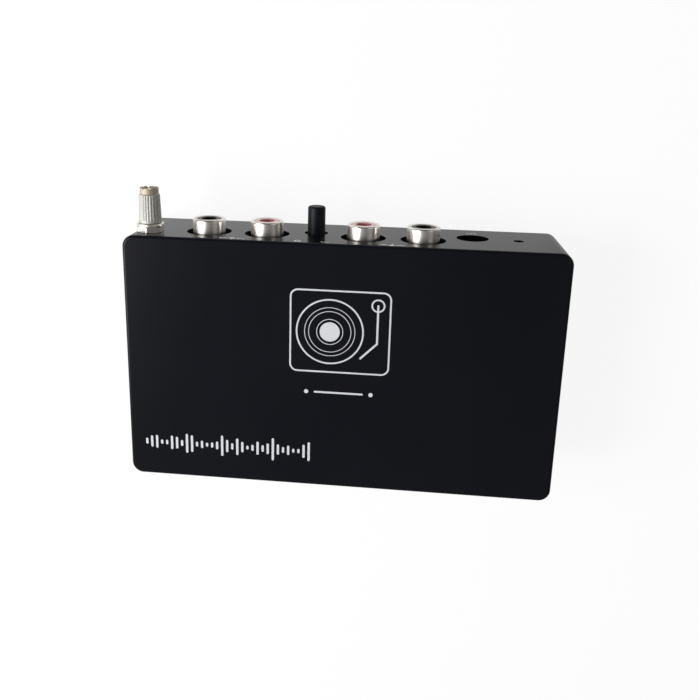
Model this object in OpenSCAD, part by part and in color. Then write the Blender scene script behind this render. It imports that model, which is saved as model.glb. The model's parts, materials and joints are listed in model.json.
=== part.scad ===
// Phono preamp: a small case that lies flat, with every connector on its rear (+Y) wall.
// Z is up and X runs along the connector wall. The origin is the middle of the whole outline,
// at the height of the surface that the feet stand on.

/* [Case] */
// Width of the case along the connector wall
case_w = 110; // [108:1:130]
// Depth of the case from the front to the connector wall
case_d = 65; // [63:1:90]
// Height of the case without its feet
case_h = 25; // [24.5:0.5:32]
// Thickness of the case's walls and of its top
wall = 1.8; // [1.4:0.1:2.2]
// Radius of the case's four upright corners
corner_r = 3; // [2.5:0.5:5]
// Radius of the edge round the top face
edge_r = 0.8; // [0.4:0.1:1.4]

/* [Base plate and feet] */
// Thickness of the base plate
plate_t = 1.2; // [1:0.1:2]
// Width of the step that the base plate lies in
step_w = 0.9; // [0.6:0.1:1]
// Clearance between the base plate and its step
plate_gap = 0.15; // [0.1:0.05:0.3]
// Radius of the screw bosses inside the case
boss_r = 3; // [2.8:0.1:3.6]
// Distance of the bosses' centres from the inside of the side walls
boss_inset = 2.6; // [2.4:0.1:2.7]
// Distance of the front bosses from the front of the case
front_boss_y = 6.5; // [5.5:0.5:9]
// Distance of the rear bosses from the connector wall's outer face
rear_boss_y = 14.5; // [13.5:0.5:18]
// Radius of the base screws' shanks
base_screw_r = 1.45; // [1.2:0.05:1.5]
// Length of the base screws
base_screw_l = 8; // [6:0.5:12]
// Height of the rubber feet
foot_h = 2; // [1:0.5:5]
// Radius of the rubber feet
foot_r = 5; // [3.5:0.5:5.5]
// Distance of the feet's centres from the sides of the case
foot_inset_x = 14; // [12:0.5:24]
// Distance of the feet's centres from the front and rear of the case
foot_inset_y = 10; // [8:0.5:16]

/* [Circuit board] */
// Thickness of the circuit board
board_t = 1.6; // [1:0.2:2]
// Height of the spacers under the circuit board
board_gap = 2; // [1.8:0.1:3]
// Clearance between the board and the case's walls
board_clear = 0.6; // [0.4:0.1:1]
// Radius of the board screws' shanks
board_screw_r = 1.25; // [1:0.05:1.4]
// Distance of the board screws from the sides of the case
board_screw_x = 11; // [10:0.5:13]
// Distance of the front board screws from the front of the case
front_screw_y = 10.5; // [10:0.5:14]
// Distance of the rear board screws from the connector wall's outer face
rear_screw_y = 22.5; // [21.5:0.5:25]

/* [Phono sockets] */
// Distance between the two sockets of a pair
jack_pitch = 15; // [14:0.5:16.5]
// Middle of the left pair of sockets
left_pair_x = -27.5; // [-29:0.5:-27]
// Middle of the right pair of sockets
right_pair_x = 12; // [11.5:0.5:13]
// Height of the sockets' axes above the board
jack_axis_h = 10.7; // [9.5:0.1:11.5]
// How far the sockets' barrels stand out of the case
jack_reach = 3.5; // [2.5:0.1:6]
// Radius of the barrels, which a phono plug's ring slides over
jack_r = 4.15; // [4.05:0.05:4.25]
// Radius of the barrels' mouths
jack_mouth_r = 3.1; // [2.9:0.05:3.3]
// Length of the barrels in front of the moulded bodies
jack_barrel_l = 9; // [8.5:0.1:10]
// Radius of the holes in the centre contacts, for the plugs' pins
contact_bore_r = 1.6; // [1.55:0.01:1.7]
// Radius of the clear holes in the case round the barrels
jack_hole_r = 5.7; // [5.2:0.1:6.2]
// Width of the moulded bodies
jack_body_w = 10; // [9.6:0.1:11]
// Length of the moulded bodies
jack_body_l = 11; // [9:0.5:12]

/* [Push button] */
// Place of the push button along the connector wall
button_x = -7.8; // [-8.2:0.1:-7.4]
// Height of the button's axis above the board
button_axis_h = 7.2; // [6.5:0.1:9]
// Radius of the button cap
button_r = 2.25; // [2.2:0.05:2.6]
// How far the button stands out of the case
button_reach = 7; // [5:0.5:9]
// Clearance round the button cap in its hole
button_clear = 0.8; // [0.3:0.1:1]
// How far the button travels when it is pressed
button_travel = 2.5; // [1.5:0.1:3]
// Length of the return spring at rest
spring_l = 5.2; // [4.8:0.1:7]

/* [Power socket] */
// Place of the power socket along the connector wall
dc_x = 32; // [31:0.5:34]
// Height of the power socket's axis above the board
dc_axis_h = 5.9; // [5.9:0.1:7]
// Radius of the hole in the case in front of the power socket
dc_hole_r = 4.1; // [3.6:0.1:4.6]
// Radius of the power socket's bore
dc_bore_r = 3.2; // [3:0.05:3.3]
// Radius of the power socket's centre pin
dc_pin_r = 1.05; // [0.8:0.05:1.25]
// Length of the power socket's housing
dc_body_l = 13; // [12:0.5:15]

/* [Status lamp] */
// Distance between the power socket and the status lamp
lamp_pitch = 11.4; // [10.5:0.1:12]
// Height of the lamp's axis above the board
lamp_axis_h = 7.2; // [6:0.1:10]
// Radius of the lamp
lamp_r = 1.5; // [1.2:0.1:1.8]
// Radius of the hole in front of the lamp
lamp_hole_r = 1.3; // [1:0.1:1.4]

/* [Ground terminal] */
// Distance of the ground terminal from the end of the left corner's curve
post_inset = 2.5; // [2.5:0.1:4]
// Distance of the ground terminal below the top face
post_drop = 6.5; // [6:0.1:8]
// Radius of the threaded stud
stud_r = 1.5; // [1.3:0.05:1.7]
// Width of the hexagon nut across its flats
hex_af = 6; // [5.5:0.1:7]
// Thickness of the hexagon nut
hex_t = 1.5; // [1.2:0.1:2.4]
// Radius of the loose washer
washer_r = 3.4; // [3:0.1:4]
// Thickness of the loose washer
washer_t = 0.7; // [0.5:0.1:1]
// Length of the thumb nut
thumb_l = 9; // [7:0.5:12]
// Radius of the thumb nut at its foot
thumb_foot_r = 2.85; // [2.8:0.05:3.2]
// Radius of the thumb nut below its crown
thumb_top_r = 2.6; // [2.35:0.05:2.8]
// Number of ribs round the thumb nut
thumb_ribs = 24; // [16:1:30]
// Depth of the grooves between the ribs
thumb_groove = 0.2; // [0.1:0.05:0.25]

/* [Hidden] */
$fn = 64;
HAIR = 0.06; // play between pieces that are fixed to each other
CUT = 1; // how far a cutter runs past the face it opens
RUN = 0.04; // running clearance of a nut on its thread
JOIN = 0.1; // how far the forms of one piece run into each other

post_reach = hex_t + washer_t + thumb_l;
reach = max(post_reach, button_reach, jack_reach);

plate_top = foot_h + plate_t;
board_bottom = plate_top + board_gap;
board_top = board_bottom + board_t;
top_z = foot_h + case_h;
ceiling_z = top_z - wall;
rear_y = case_d / 2;
inner_w = case_w - 2 * wall;
inner_d = case_d - 2 * wall;
inner_rear_y = rear_y - wall;
leg_end_z = board_bottom - 0.8; // how low the solder legs reach
leg_hole_r = 0.95;

boss_x = inner_w / 2 - boss_inset;
boss_places = [for (s = [-1, 1], y = [front_boss_y - rear_y, rear_y - rear_boss_y]) [s * boss_x, y]];
board_w = inner_w - 2 * board_clear;
board_d = inner_d - 2 * board_clear;
screw_x = case_w / 2 - board_screw_x;
board_screw_y = [front_screw_y - rear_y, rear_y - rear_screw_y];
board_screw_places = [for (s = [-1, 1], y = board_screw_y) [s * screw_x, y]];
foot_x = case_w / 2 - foot_inset_x;
foot_y = rear_y - foot_inset_y;
foot_places = [for (s = [-1, 1], t = [-1, 1]) [s * foot_x, t * foot_y]];
head_h = 1.7; // height of the countersunk heads
head_r = base_screw_r + 1.45;
spacer_r = 2.6;
pan_r = 2.6; // radius of the board screws' heads
pan_h = 1.7;

jack_places = [
    left_pair_x - jack_pitch / 2,
    left_pair_x + jack_pitch / 2,
    right_pair_x - jack_pitch / 2,
    right_pair_x + jack_pitch / 2
];
jack_z = board_top + jack_axis_h;
jack_face_y = rear_y + jack_reach - jack_barrel_l; // front face of the moulded bodies
jack_back_y = jack_face_y - jack_body_l;
flange_t = 0.6;
flange_r = jack_body_w / 2 - 0.3;
spigot_l = 3; // length of the insulator inside the moulded body
insert_back = 0.15; // how far the insulator sits back in the barrel
contact_r = contact_bore_r + 0.3;
contact_back = 1; // how far the contact sits back in the insulator
contact_floor = 1.5; // how far the contact's hole runs into the moulded body
stem_r = 0.6;
leg_t = 0.6;
leg_gap = 0.1; // between a leg and the housing it runs down
tab_w = 1.5;

button_z = board_top + button_axis_h;
button_hole_r = button_r + button_clear;
cap_tail = 1.5; // how far the cap reaches behind the connector wall
cap_back_y = inner_rear_y - cap_tail;
switch_face_y = cap_back_y - spring_l;
switch_l = 11;
switch_w = 8.5;
switch_rise = 4.2; // height of the switch above its bar's middle
switch_top_z = button_z + switch_rise;
bar_w = 2.4; // width of the plunger's square bar
bar_in_cap = 4;
bar_in_switch = 5;
bar_clear = 0.15;
wire_r = 0.2;
coil_r = 2;
coil_turns = 5;
coil_steps = 24; // rings to a turn
coil_sides = 6;

dc_z = board_top + dc_axis_h;
dc_face_y = inner_rear_y - 0.2;
dc_back_y = dc_face_y - dc_body_l;
dc_w = 9;
dc_top_z = dc_z + 4.9;
dc_floor_y = dc_face_y - 9.5;
dc_tip_y = dc_face_y - 0.6;
dc_root_r = dc_pin_r - 0.3; // the pin's root in the housing
leaf_t = 0.3;
leaf_w = 1.6;
leaf_z = dc_z - dc_bore_r - 1.3; // underside of the leaf's straight run

lamp_x = dc_x + lamp_pitch;
lamp_z = board_top + lamp_axis_h;
lamp_tip_y = inner_rear_y - 0.15;
lamp_l = 5.3;
lamp_rim_r = lamp_r + 0.4;
lamp_rim_t = 1;
lead_w = 0.5;
lead_pitch = 2.54;

post_x = corner_r + post_inset - case_w / 2;
post_z = top_z - post_drop;
lug_t = 0.5;
lug_r = 2.5;
lug_drop = 8; // how far the lug's tail hangs below the stud
lug_reach = 4; // how far the tail runs inwards
stud_head_r = 2.9;
stud_head_t = 1.8;
washer_y = rear_y + hex_t;
thumb_y = washer_y + washer_t;
crown_h = 1.6;
crown_edge = 0.25; // chamfer round the crown's top, and height of the shoulder below it
crown_notches = 8;
notch_w = 0.7; // side of the square cutter that makes each V-notch
plain_h = 0.6; // plain band at the foot, below the ribs

chip_size = [9.8, 6.4, 3.3];
chip_lift = 0.6;
chip_y = 1;
chip_x = [-27, 8];
can_r = 3.15;
can_h = 11;
can_y = -20;
can_x = [-33, -24, -15, -2, 7, 16];
big_can_r = 5;
big_can_h = 13;
big_can_x = 34;
big_can_y = [-15, -2];
film_size = [7.2, 2.6, 6.5];
film_y = -9;
film_x = [-35, -25, -15, 0, 10, 20];
resistor_y = [8, -13.5];
resistor_x = [-33, -22, -11, 3, 14];
regulator_r = 2.4;
regulator_h = 4.6;
regulator_lift = 2;
regulator_x = 26.4;
regulator_y = [-20, -8];

// Moves the case's own frame, centred on the case, to the middle of the whole outline.
module placed() {
    translate([0, -reach / 2, 0])
        children();
}

// Turns a piece drawn upwards so that it points out of the connector wall, its foot at y.
module outwards(x, y, z) {
    translate([x, y, z])
        rotate([-90, 0, 0])
            children();
}

// Flat plate with rounded upright corners, standing on z = 0.
module rounded_slab(w, d, h, r) {
    linear_extrude(h)
        rounded_outline(w, d, r);
}

module rounded_outline(w, d, r) {
    square([w - 2 * r, d], center = true);
    square([w, d - 2 * r], center = true);
    for (s = [-1, 1], t = [-1, 1])
        translate([s * (w / 2 - r), t * (d / 2 - r)])
            circle(r);
}

// Upright outline of width w and height h whose two upper corners have radius r.
module domed_outline(w, h, r) {
    translate([-w / 2, 0])
        square([w, h - r]);
    translate([r - w / 2, 0])
        square([w - 2 * r, h]);
    for (s = [-1, 1])
        translate([s * (w / 2 - r), h - r])
            circle(r);
}

// The case's outer form: upright corners of corner_r that roll over into the top face.
module case_blank() {
    rotate([90, 0, 90])
        translate([0, 0, corner_r - case_w / 2])
            linear_extrude(case_w - 2 * corner_r)
                domed_outline(case_d, case_h, edge_r);
    rotate([90, 0, 0])
        translate([0, 0, corner_r - case_d / 2])
            linear_extrude(case_d - 2 * corner_r)
                domed_outline(case_w, case_h, edge_r);
    for (s = [-1, 1], t = [-1, 1])
        translate([s * (case_w / 2 - corner_r), t * (case_d / 2 - corner_r), 0])
            rotate_extrude()
                intersection() {
                    domed_outline(2 * corner_r, case_h, edge_r);
                    square([corner_r, case_h]);
                }
}

module rear_hole(x, z, r) {
    outwards(x, inner_rear_y - CUT, z)
        cylinder(r = r, h = wall + 2 * CUT);
}

// One-piece case, open below, with screw bosses that hang from its ceiling.
module case_shell() {
    inner_r = max(corner_r - wall, 0.4);
    plate_r = max(corner_r - wall + step_w, 0.4);
    color([0.09, 0.09, 0.1])
    difference() {
        union() {
            difference() {
                translate([0, 0, foot_h])
                    case_blank();
                translate([0, 0, foot_h - CUT])
                    rounded_slab(inner_w, inner_d, case_h - wall + CUT, inner_r);
            }
            for (p = boss_places)
                translate([p[0], p[1], plate_top])
                    cylinder(r = boss_r, h = ceiling_z - plate_top + wall / 2);
        }
        translate([0, 0, foot_h - CUT])
            rounded_slab(inner_w + 2 * step_w, inner_d + 2 * step_w, plate_t + CUT, plate_r);
        for (p = boss_places)
            translate([p[0], p[1], plate_top - CUT])
                cylinder(r = base_screw_r + HAIR, h = base_screw_l + CUT);
        for (x = jack_places)
            rear_hole(x, jack_z, jack_hole_r);
        rear_hole(button_x, button_z, button_hole_r);
        rear_hole(dc_x, dc_z, dc_hole_r);
        rear_hole(lamp_x, lamp_z, lamp_hole_r);
        rear_hole(post_x, post_z, stud_r + 0.1);
    }
}

// Countersunk screw pointing up, the flat of its head at z = 0.
module countersunk_screw(play) {
    rotate_extrude()
        polygon([
            [0, 0],
            [head_r + play, 0],
            [base_screw_r + play, head_h - 0.4],
            [base_screw_r + play, base_screw_l],
            [0, base_screw_l]
        ]);
}

module base_plate() {
    plate_w = inner_w + 2 * step_w - 2 * plate_gap;
    plate_d = inner_d + 2 * step_w - 2 * plate_gap;
    color([0.12, 0.12, 0.13])
    difference() {
        union() {
            translate([0, 0, foot_h])
                rounded_slab(plate_w, plate_d, plate_t, max(corner_r - wall + step_w - plate_gap, 0.3));
            for (p = board_screw_places)
                translate([p[0], p[1], foot_h])
                    cylinder(r = spacer_r, h = plate_t + board_gap);
        }
        for (p = boss_places)
            translate([p[0], p[1], foot_h])
                countersunk_screw(0.05);
        for (p = board_screw_places)
            translate([p[0], p[1], foot_h + 0.5])
                cylinder(r = board_screw_r + HAIR, h = plate_t + board_gap);
    }
}

module base_screws() {
    drive_r = 0.9;
    drive_h = 0.9;
    color([0.2, 0.2, 0.21])
    for (p = boss_places)
        translate([p[0], p[1], foot_h])
            difference() {
                countersunk_screw(0);
                for (a = [0, 90])
                    rotate(a)
                        translate([-drive_r, -0.25, -CUT])
                            cube([2 * drive_r, 0.5, drive_h + CUT]);
            }
}

module rubber_feet() {
    lip = 0.5;
    color([0.05, 0.05, 0.05])
    for (p = foot_places)
        translate([p[0], p[1], 0])
            rotate_extrude()
                polygon([[0, 0], [foot_r - lip, 0], [foot_r, lip], [foot_r, foot_h], [0, foot_h]]);
}

module leg_hole(x, y) {
    translate([x, y, board_bottom - CUT])
        cylinder(r = leg_hole_r, h = board_t + 2 * CUT);
}

// Places of the switch's six legs.
function switch_legs() = [
    for (s = [-1, 1], i = [0, 1, 2])
        [button_x + s * 2.5, switch_face_y - 2 - i * 3]
];

module circuit_board() {
    color([0.05, 0.3, 0.16])
    difference() {
        translate([0, 0, board_bottom])
            rounded_slab(board_w, board_d, board_t, 1);
        for (p = boss_places)
            translate([p[0], p[1], board_bottom - CUT])
                cylinder(r = boss_r + 0.5, h = board_t + 2 * CUT);
        for (p = board_screw_places)
            translate([p[0], p[1], board_bottom - CUT])
                cylinder(r = board_screw_r + 0.15, h = board_t + 2 * CUT);
        for (x = jack_places) {
            leg_hole(x, jack_face_y + flange_t / 2);
            leg_hole(x, jack_back_y - leg_gap - leg_t / 2);
        }
        for (p = switch_legs())
            leg_hole(p[0], p[1]);
        leg_hole(dc_x, dc_back_y - leg_gap - leg_t / 2);
        leg_hole(dc_x, dc_back_y + 2 + leaf_t / 2);
        for (s = [-1, 1])
            leg_hole(lamp_x + s * lead_pitch / 2, lamp_tip_y - lamp_l - 2 + lead_w / 2);
    }
}

module board_screws() {
    color([0.75, 0.75, 0.76])
    for (p = board_screw_places)
        translate([p[0], p[1], board_top])
            difference() {
                union() {
                    translate([0, 0, -board_t - board_gap])
                        cylinder(r = board_screw_r, h = board_t + board_gap + JOIN);
                    rotate_extrude()
                        polygon([
                            [0, 0],
                            [pan_r, 0],
                            [pan_r, pan_h - 0.6],
                            [pan_r - 0.6, pan_h],
                            [0, pan_h]
                        ]);
                }
                for (a = [0, 90])
                    rotate(a)
                        translate([-1.3, -0.3, pan_h - 0.8])
                            cube([2.6, 0.6, 0.8 + CUT]);
            }
}

// Nickel-plated barrel with a rolled rim, a flange against the moulded body and a ground tab.
module jack_shell(x) {
    rim_r = (jack_r - jack_mouth_r) / 2;
    color([0.8, 0.79, 0.75]) {
        outwards(x, jack_face_y, jack_z)
            rotate_extrude()
                translate([jack_mouth_r, 0]) {
                    square([flange_r - jack_mouth_r, flange_t]);
                    square([2 * rim_r, jack_barrel_l - rim_r]);
                    translate([rim_r, jack_barrel_l - rim_r])
                        circle(rim_r);
                }
        translate([x - tab_w / 2, jack_face_y, leg_end_z])
            cube([tab_w, flange_t, jack_z - (jack_mouth_r + flange_r) / 2 - leg_end_z]);
    }
}

// Coloured insulator that fills the barrel round the centre contact.
module jack_insert(x, tint) {
    color(tint)
    outwards(x, jack_face_y - spigot_l, jack_z)
        difference() {
            rotate_extrude()
                polygon([
                    [0, 0],
                    [jack_mouth_r - HAIR, 0],
                    [jack_mouth_r - HAIR, spigot_l + jack_barrel_l - insert_back],
                    [0, spigot_l + jack_barrel_l - insert_back]
                ]);
            translate([0, 0, -CUT])
                cylinder(r = contact_r + HAIR, h = spigot_l + jack_barrel_l + 2 * CUT);
        }
}

// Tubular centre contact with a stem through the body and a leg down to the board.
module jack_contact(x) {
    tube_l = spigot_l + jack_barrel_l - insert_back - contact_back;
    slit_w = 0.4;
    slit_l = 4;
    color([0.83, 0.81, 0.76]) {
        outwards(x, jack_face_y - spigot_l, jack_z)
            difference() {
                cylinder(r = contact_r, h = tube_l);
                translate([0, 0, spigot_l - contact_floor])
                    cylinder(r = contact_bore_r, h = tube_l);
                translate([-contact_r - CUT, -slit_w / 2, tube_l - slit_l])
                    cube([2 * contact_r + 2 * CUT, slit_w, slit_l + CUT]);
            }
        outwards(x, jack_back_y - leg_gap - leg_t, jack_z)
            cylinder(r = stem_r, h = jack_body_l - spigot_l + leg_gap + leg_t + JOIN);
        translate([x - stem_r, jack_back_y - leg_gap - leg_t, leg_end_z])
            cube([2 * stem_r, leg_t, jack_z - leg_end_z]);
    }
}

// Moulded body on the board, round-topped, that holds the insulator's spigot and the stem.
module jack_body(x) {
    color([0.08, 0.08, 0.08])
    difference() {
        union() {
            translate([x - jack_body_w / 2, jack_back_y, board_top])
                cube([jack_body_w, jack_body_l, jack_axis_h]);
            outwards(x, jack_back_y, jack_z)
                cylinder(r = jack_body_w / 2, h = jack_body_l);
        }
        outwards(x, jack_face_y - spigot_l, jack_z)
            cylinder(r = jack_mouth_r + HAIR, h = spigot_l + CUT);
        outwards(x, jack_back_y - CUT, jack_z)
            cylinder(r = stem_r + HAIR, h = jack_body_l + CUT);
    }
}

// Round cap with a rounded end, pushed onto the plunger's square bar.
module button_cap() {
    cap_l = button_reach + wall + cap_tail;
    round_r = 0.6;
    color([0.07, 0.07, 0.08])
    outwards(button_x, cap_back_y, button_z)
        difference() {
            rotate_extrude()
                intersection() {
                    union() {
                        square([button_r, cap_l - round_r]);
                        square([button_r - round_r, cap_l]);
                        translate([button_r - round_r, cap_l - round_r])
                            circle(round_r);
                    }
                    square([button_r, cap_l]);
                }
            translate([-bar_w / 2 - HAIR, -bar_w / 2 - HAIR, -CUT])
                cube([bar_w + 2 * HAIR, bar_w + 2 * HAIR, bar_in_cap + CUT]);
        }
}

module switch_plunger() {
    color([0.9, 0.9, 0.88])
    translate([button_x - bar_w / 2, switch_face_y - bar_in_switch, button_z - bar_w / 2])
        cube([bar_w, bar_in_switch + spring_l + bar_in_cap, bar_w]);
}

// Points of one ring of the coil's wire, at step i of its helix.
function coil_ring(i, run) =
    let (turn = 360 * i / coil_steps, rise = wire_r + HAIR + run * i / (coil_turns * coil_steps))
    [
        for (j = [0:coil_sides - 1])
            let (a = 360 * j / coil_sides, r = coil_r + wire_r * cos(a))
            [r * cos(turn), r * sin(turn), rise + wire_r * sin(a)]
    ];

// Compression spring round the bar, between the switch and the cap.
module return_spring() {
    rings = coil_turns * coil_steps;
    run = spring_l - 2 * wire_r - 2 * HAIR;
    points = [for (i = [0:rings]) each coil_ring(i, run)];
    sides = [
        for (i = [0:rings - 1], j = [0:coil_sides - 1])
            let (k = (j + 1) % coil_sides)
            [
                i * coil_sides + j,
                (i + 1) * coil_sides + j,
                (i + 1) * coil_sides + k,
                i * coil_sides + k
            ]
    ];
    first_end = [for (j = [0:coil_sides - 1]) j];
    last_end = [for (j = [coil_sides - 1:-1:0]) rings * coil_sides + j];
    color([0.75, 0.75, 0.78])
    outwards(button_x, switch_face_y, button_z)
        polyhedron(points, concat(sides, [first_end, last_end]));
}

// Housing of the push switch with the guide for its bar and six legs.
module switch_body() {
    color([0.15, 0.15, 0.16]) {
        difference() {
            translate([button_x - switch_w / 2, switch_face_y - switch_l, board_top])
                cube([switch_w, switch_l, switch_top_z - board_top]);
            translate([
                button_x - bar_w / 2 - bar_clear,
                switch_face_y - bar_in_switch - button_travel - 0.5,
                button_z - bar_w / 2 - bar_clear
            ])
                cube([
                    bar_w + 2 * bar_clear,
                    bar_in_switch + button_travel + 0.5 + CUT,
                    bar_w + 2 * bar_clear
                ]);
        }
        for (p = switch_legs())
            translate([p[0] - leg_t / 2, p[1] - leg_t / 2, leg_end_z])
                cube([leg_t, leg_t, board_top + 0.5 - leg_end_z]);
    }
}

// Housing of the power socket, with the bore for the plug and the groove for the leaf contact.
module dc_socket_body() {
    color([0.06, 0.06, 0.06])
    difference() {
        translate([dc_x - dc_w / 2, dc_back_y, board_top])
            cube([dc_w, dc_body_l, dc_top_z - board_top]);
        outwards(dc_x, dc_floor_y, dc_z)
            cylinder(r = dc_bore_r, h = dc_face_y - dc_floor_y + CUT);
        outwards(dc_x, dc_back_y - CUT, dc_z)
            cylinder(r = dc_root_r + HAIR, h = dc_body_l);
        translate([dc_x - leaf_w / 2 - 0.1, dc_back_y + 1.9, leaf_z - HAIR])
            cube([leaf_w + 0.2, dc_body_l - 2.7, dc_z - leaf_z]);
        translate([dc_x - leaf_w / 2 - 0.1, dc_back_y + 1.9, board_top - CUT])
            cube([leaf_w + 0.2, leaf_t + 0.2, leaf_z - board_top + 2 * CUT]);
    }
}

module dc_centre_pin() {
    color([0.83, 0.81, 0.76]) {
        outwards(dc_x, dc_back_y - leg_gap - leg_t, dc_z)
            cylinder(r = dc_root_r, h = dc_floor_y - dc_back_y + leg_gap + leg_t + JOIN);
        outwards(dc_x, dc_floor_y, dc_z)
            cylinder(r = dc_pin_r, h = dc_tip_y - dc_floor_y - dc_pin_r);
        outwards(dc_x, dc_tip_y - dc_pin_r, dc_z)
            sphere(dc_pin_r);
        translate([dc_x - dc_root_r, dc_back_y - leg_gap - leg_t, leg_end_z])
            cube([2 * dc_root_r, leg_t, dc_z - leg_end_z]);
    }
}

// Bent strip that presses on the plug's barrel, drawn as its side view and given its width.
module dc_leaf_contact() {
    start_y = dc_back_y + 2;
    end_y = dc_face_y - 1.2;
    hump_z = dc_z - dc_bore_r + 0.2;
    run = end_y - start_y;
    under = [
        [start_y + run * 0.45, leaf_z],
        [start_y + run * 0.75, hump_z - leaf_t],
        [end_y, leaf_z + 0.4]
    ];
    color([0.85, 0.75, 0.5])
    translate([dc_x - leaf_w / 2, 0, 0])
        rotate([90, 0, 90])
            linear_extrude(leaf_w)
                polygon(concat(
                    [[start_y + leaf_t, leg_end_z], [start_y, leg_end_z], [start_y, leaf_z + leaf_t]],
                    [for (p = under) p + [0, leaf_t]],
                    [for (i = [2:-1:0]) under[i]],
                    [[start_y + leaf_t, leaf_z]]
                ));
}

// Round lamp with a domed end and a rim at its foot.
module status_lamp() {
    color([0.75, 0.78, 0.8])
    outwards(lamp_x, lamp_tip_y - lamp_l, lamp_z) {
        cylinder(r = lamp_rim_r, h = lamp_rim_t);
        cylinder(r = lamp_r, h = lamp_l - lamp_r);
        translate([0, 0, lamp_l - lamp_r])
            sphere(lamp_r);
    }
}

module lamp_leads() {
    back_y = lamp_tip_y - lamp_l;
    bend = 2;
    color([0.75, 0.75, 0.76])
    for (s = [-1, 1])
        translate([lamp_x + s * lead_pitch / 2 - lead_w / 2, back_y - bend, 0]) {
            translate([0, 0, lamp_z - lead_w / 2])
                cube([lead_w, bend, lead_w]);
            translate([0, 0, leg_end_z])
                cube([lead_w, lead_w, lamp_z + lead_w / 2 - leg_end_z]);
        }
}

// Threaded stud with its head inside the case, through the solder lug and the wall.
module ground_stud() {
    back = wall + lug_t;
    shank_l = back + post_reach - 0.4;
    tip = 0.3;
    color([0.8, 0.79, 0.75])
    outwards(post_x, rear_y - back - stud_head_t, post_z)
        rotate_extrude()
            polygon([
                [0, 0],
                [stud_head_r - 0.4, 0],
                [stud_head_r, 0.4],
                [stud_head_r, stud_head_t],
                [stud_r, stud_head_t],
                [stud_r, stud_head_t + shank_l - tip],
                [stud_r - tip, stud_head_t + shank_l],
                [0, stud_head_t + shank_l]
            ]);
}

// Solder lug behind the wall, its tail bent inwards over the board.
module ground_lug() {
    tail_w = 2.4;
    color([0.8, 0.78, 0.7])
    difference() {
        union() {
            outwards(post_x, inner_rear_y - lug_t, post_z)
                cylinder(r = lug_r, h = lug_t);
            translate([post_x - tail_w / 2, inner_rear_y - lug_t, post_z - lug_drop])
                cube([tail_w, lug_t, lug_drop]);
            translate([post_x - tail_w / 2, inner_rear_y - lug_reach, post_z - lug_drop])
                cube([tail_w, lug_reach, lug_t]);
        }
        outwards(post_x, inner_rear_y - lug_t - CUT, post_z)
            cylinder(r = stud_r + 0.1, h = lug_t + 2 * CUT);
    }
}

module ground_wire() {
    color([0.1, 0.45, 0.15])
    translate([post_x, inner_rear_y - lug_reach + 1.2, board_top])
        cylinder(r = 0.7, h = post_z - lug_drop - board_top);
}

// Hexagon nut that clamps the stud in the wall, its outer corners chamfered.
module ground_hex_nut() {
    corner = hex_af / 2 / cos(30);
    color([0.82, 0.81, 0.77])
    outwards(post_x, rear_y, post_z)
        difference() {
            intersection() {
                rotate(30)
                    cylinder(r = corner, h = hex_t, $fn = 6);
                rotate_extrude()
                    polygon([[0, 0], [corner, 0], [corner, hex_t - 0.4], [corner - 0.7, hex_t], [0, hex_t]]);
            }
            translate([0, 0, -CUT])
                cylinder(r = stud_r + HAIR, h = hex_t + 2 * CUT);
        }
}

module ground_washer() {
    color([0.85, 0.85, 0.84])
    outwards(post_x, washer_y, post_z)
        difference() {
            cylinder(r = washer_r, h = washer_t);
            translate([0, 0, -CUT])
                cylinder(r = stud_r + 0.1, h = washer_t + 2 * CUT);
        }
}

// Knurled thumb nut: a taper cut by V-grooves that run out over the shoulder of a plain
// crown, which is chamfered and notched across its top.
module ground_thumb_nut() {
    crown_z = thumb_l - crown_h;
    crown_r = thumb_top_r - thumb_groove - HAIR;
    taper = atan((thumb_foot_r - thumb_top_r) / (crown_z - crown_edge - plain_h));
    groove_w = thumb_groove * sqrt(2);
    groove_l = crown_z - plain_h;
    color([0.78, 0.76, 0.7])
    outwards(post_x, thumb_y, post_z)
        difference() {
            rotate_extrude()
                polygon([
                    [0, 0],
                    [thumb_foot_r - 0.2, 0],
                    [thumb_foot_r, 0.2],
                    [thumb_foot_r, plain_h],
                    [thumb_top_r, crown_z - crown_edge],
                    [crown_r, crown_z],
                    [crown_r, thumb_l - crown_edge],
                    [crown_r - crown_edge, thumb_l],
                    [0, thumb_l]
                ]);
            translate([0, 0, -CUT])
                cylinder(r = stud_r + RUN, h = thumb_l + 2 * CUT);
            for (i = [0:thumb_ribs - 1])
                rotate(360 * i / thumb_ribs)
                    translate([thumb_foot_r, 0, plain_h])
                        rotate([0, -taper, 0])
                            translate([0, 0, groove_l / 2])
                                rotate(45)
                                    cube([groove_w, groove_w, groove_l], center = true);
            for (i = [0:crown_notches - 1])
                rotate(360 * (i + 0.5) / crown_notches)
                    translate([0, 0, thumb_l])
                        rotate([45, 0, 0])
                            translate([0, -notch_w / 2, -notch_w / 2])
                                cube([thumb_foot_r, notch_w, notch_w]);
        }
}

// Eight-legged chips with a notch in one end.
module op_amps() {
    leg_w = 0.5;
    leg_y = chip_size[1] / 2 + leg_w / 2 - JOIN;
    notch_r = 0.9;
    notch_depth = 0.6;
    color([0.1, 0.1, 0.1])
    for (x = chip_x)
        translate([x, chip_y, board_top]) {
            difference() {
                translate([-chip_size[0] / 2, -chip_size[1] / 2, chip_lift])
                    cube(chip_size);
                translate([-chip_size[0] / 2, 0, chip_lift + chip_size[2] - notch_depth])
                    cylinder(r = notch_r, h = notch_depth + CUT);
            }
            for (i = [-1.5:1:1.5], s = [-1, 1])
                translate([i * lead_pitch - leg_w / 2, s * leg_y - leg_w / 2, 0])
                    cube([leg_w, leg_w, chip_lift + chip_size[2] / 2]);
        }
}

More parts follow.
